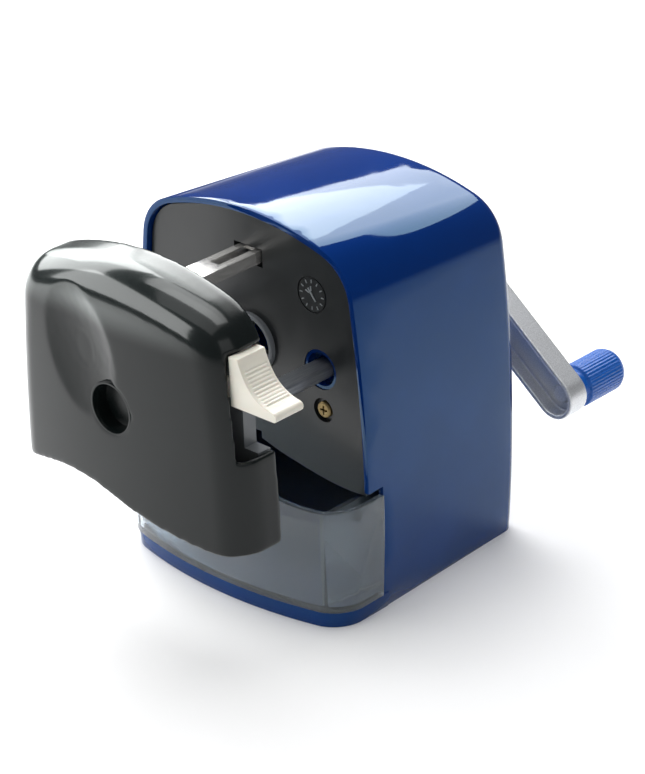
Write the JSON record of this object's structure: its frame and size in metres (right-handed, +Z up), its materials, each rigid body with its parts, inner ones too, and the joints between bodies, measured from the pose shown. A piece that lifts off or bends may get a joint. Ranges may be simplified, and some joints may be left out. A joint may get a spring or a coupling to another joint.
{
  "type": "pencil sharpener",
  "caption": "Desk pencil sharpener: arched blue housing, sprung pull-out head with a side release lever, clear shavings drawer and a rear crank turning a helical cutter.",
  "frame": {"origin": "on the underside, in the middle of the footprint", "axes": "+Z up, -Y towards the pencil hole, +X to the side of the release lever"},
  "size_m": [0.0947, 0.1532, 0.1076],
  "materials": {
    "blue_shell": "glossy moulded plastic",
    "dark_head": "semi-gloss moulded plastic",
    "black_plate": "satin moulded plastic",
    "ivory_lever": "smooth moulded plastic",
    "clear_drawer": "clear moulded plastic",
    "grey_frame": "satin moulded plastic",
    "guide_steel": "drawn steel bar",
    "bright_rail": "bright plated pressing",
    "crank_metal": "die-cast, satin",
    "shaft_steel": "ground steel",
    "cutter_steel": "hardened steel",
    "gear_metal": "die-cast zinc look",
    "brass_screw": "yellow-passivated",
    "bush_brass": "turned",
    "spring_steel": "spring wire",
    "blue_knob": "satin ribbed plastic",
    "rubber": "matt anti-slip sheet"
  },
  "bodies": {
    "housing": {"housing_shell": "blue_shell", "underside_pad": "rubber", "front_plate": "black_plate", "opening_collar": "grey_frame", "left_guide_bush": "blue_shell", "right_guide_bush": "blue_shell", "front_plate_screws": "brass_screw", "ring_gear": "gear_metal", "shaft_bush": "bush_brass", "rail_catch": "spring_steel"},
    "head": {"head_cover": "dark_head", "head_back_plate": "grey_frame", "left_guide_bar": "guide_steel", "right_guide_bar": "guide_steel", "left_bar_stop": "spring_steel", "right_bar_stop": "spring_steel", "left_feed_spring": "spring_steel", "right_feed_spring": "spring_steel", "latch_rail": "bright_rail", "jaw_guide": "gear_metal", "back_plate_screws": "brass_screw"},
    "lever": {"release_lever": "ivory_lever", "jaw_ring": "gear_metal"},
    "jaw_a": {"top_jaw": "cutter_steel"},
    "jaw_b": {"left_jaw": "cutter_steel"},
    "jaw_c": {"right_jaw": "cutter_steel"},
    "drawer_body": {"drawer": "clear_drawer"},
    "crank": {"cutter_carrier": "gear_metal", "cutter_axle": "shaft_steel", "crank_shaft": "shaft_steel", "crank_collar": "black_plate", "shaft_ring": "spring_steel", "crank_arm": "crank_metal", "knob_pin": "shaft_steel", "crank_screw": "shaft_steel"},
    "cutter_roller": {"cutter": "cutter_steel", "cutter_pinion": "cutter_steel"},
    "knob_body": {"knob": "blue_knob"}
  },
  "joints": [
    {"name": "head_slide", "type": "slide", "parent": "housing", "child": "head", "axis": [0, 1, 0], "range_m": [0, 0.0315], "deforming": ["left_feed_spring", "right_feed_spring"]},
    {"name": "lever_press", "type": "hinge", "parent": "head", "child": "lever", "pos_m": [0, -0.0657, 0.0687], "axis": [0, 1, 0], "range_deg": [0, 20], "stiffness_Nm_per_rad": 0.08, "springref_deg": -8.59},
    {"name": "top_jaw_slide", "type": "slide", "parent": "head", "child": "jaw_a", "axis": [0, 0, 1], "range_m": [0, 0.004]},
    {"name": "left_jaw_slide", "type": "slide", "parent": "head", "child": "jaw_b", "axis": [-0.866, 0, -0.5], "range_m": [0, 0.004]},
    {"name": "right_jaw_slide", "type": "slide", "parent": "head", "child": "jaw_c", "axis": [0.866, 0, -0.5], "range_m": [0, 0.004]},
    {"name": "drawer_slide", "type": "slide", "parent": "housing", "child": "drawer_body", "axis": [0, -1, 0], "range_m": [0, 0.06]},
    {"name": "crank_turn", "type": "hinge", "parent": "housing", "child": "crank", "pos_m": [0, 0.036, 0.0687], "axis": [0, 1, 0], "continuous": true},
    {"name": "cutter_spin", "type": "hinge", "parent": "crank", "child": "cutter_roller", "pos_m": [0, -0.0133, 0.0579], "axis": [0, 0.9839, 0.1788], "continuous": true},
    {"name": "knob_spin", "type": "hinge", "parent": "crank", "child": "knob_body", "pos_m": [0.04065, 0.07, 0.03531], "axis": [0, 1, 0], "continuous": true}
  ],
  "couplings": [
    {"joint": "top_jaw_slide", "follows": "lever_press", "m_per_rad": 0.011459},
    {"joint": "left_jaw_slide", "follows": "lever_press", "m_per_rad": 0.011459},
    {"joint": "right_jaw_slide", "follows": "lever_press", "m_per_rad": 0.011459},
    {"joint": "cutter_spin", "follows": "crank_turn", "ratio": -3.4}
  ]
}
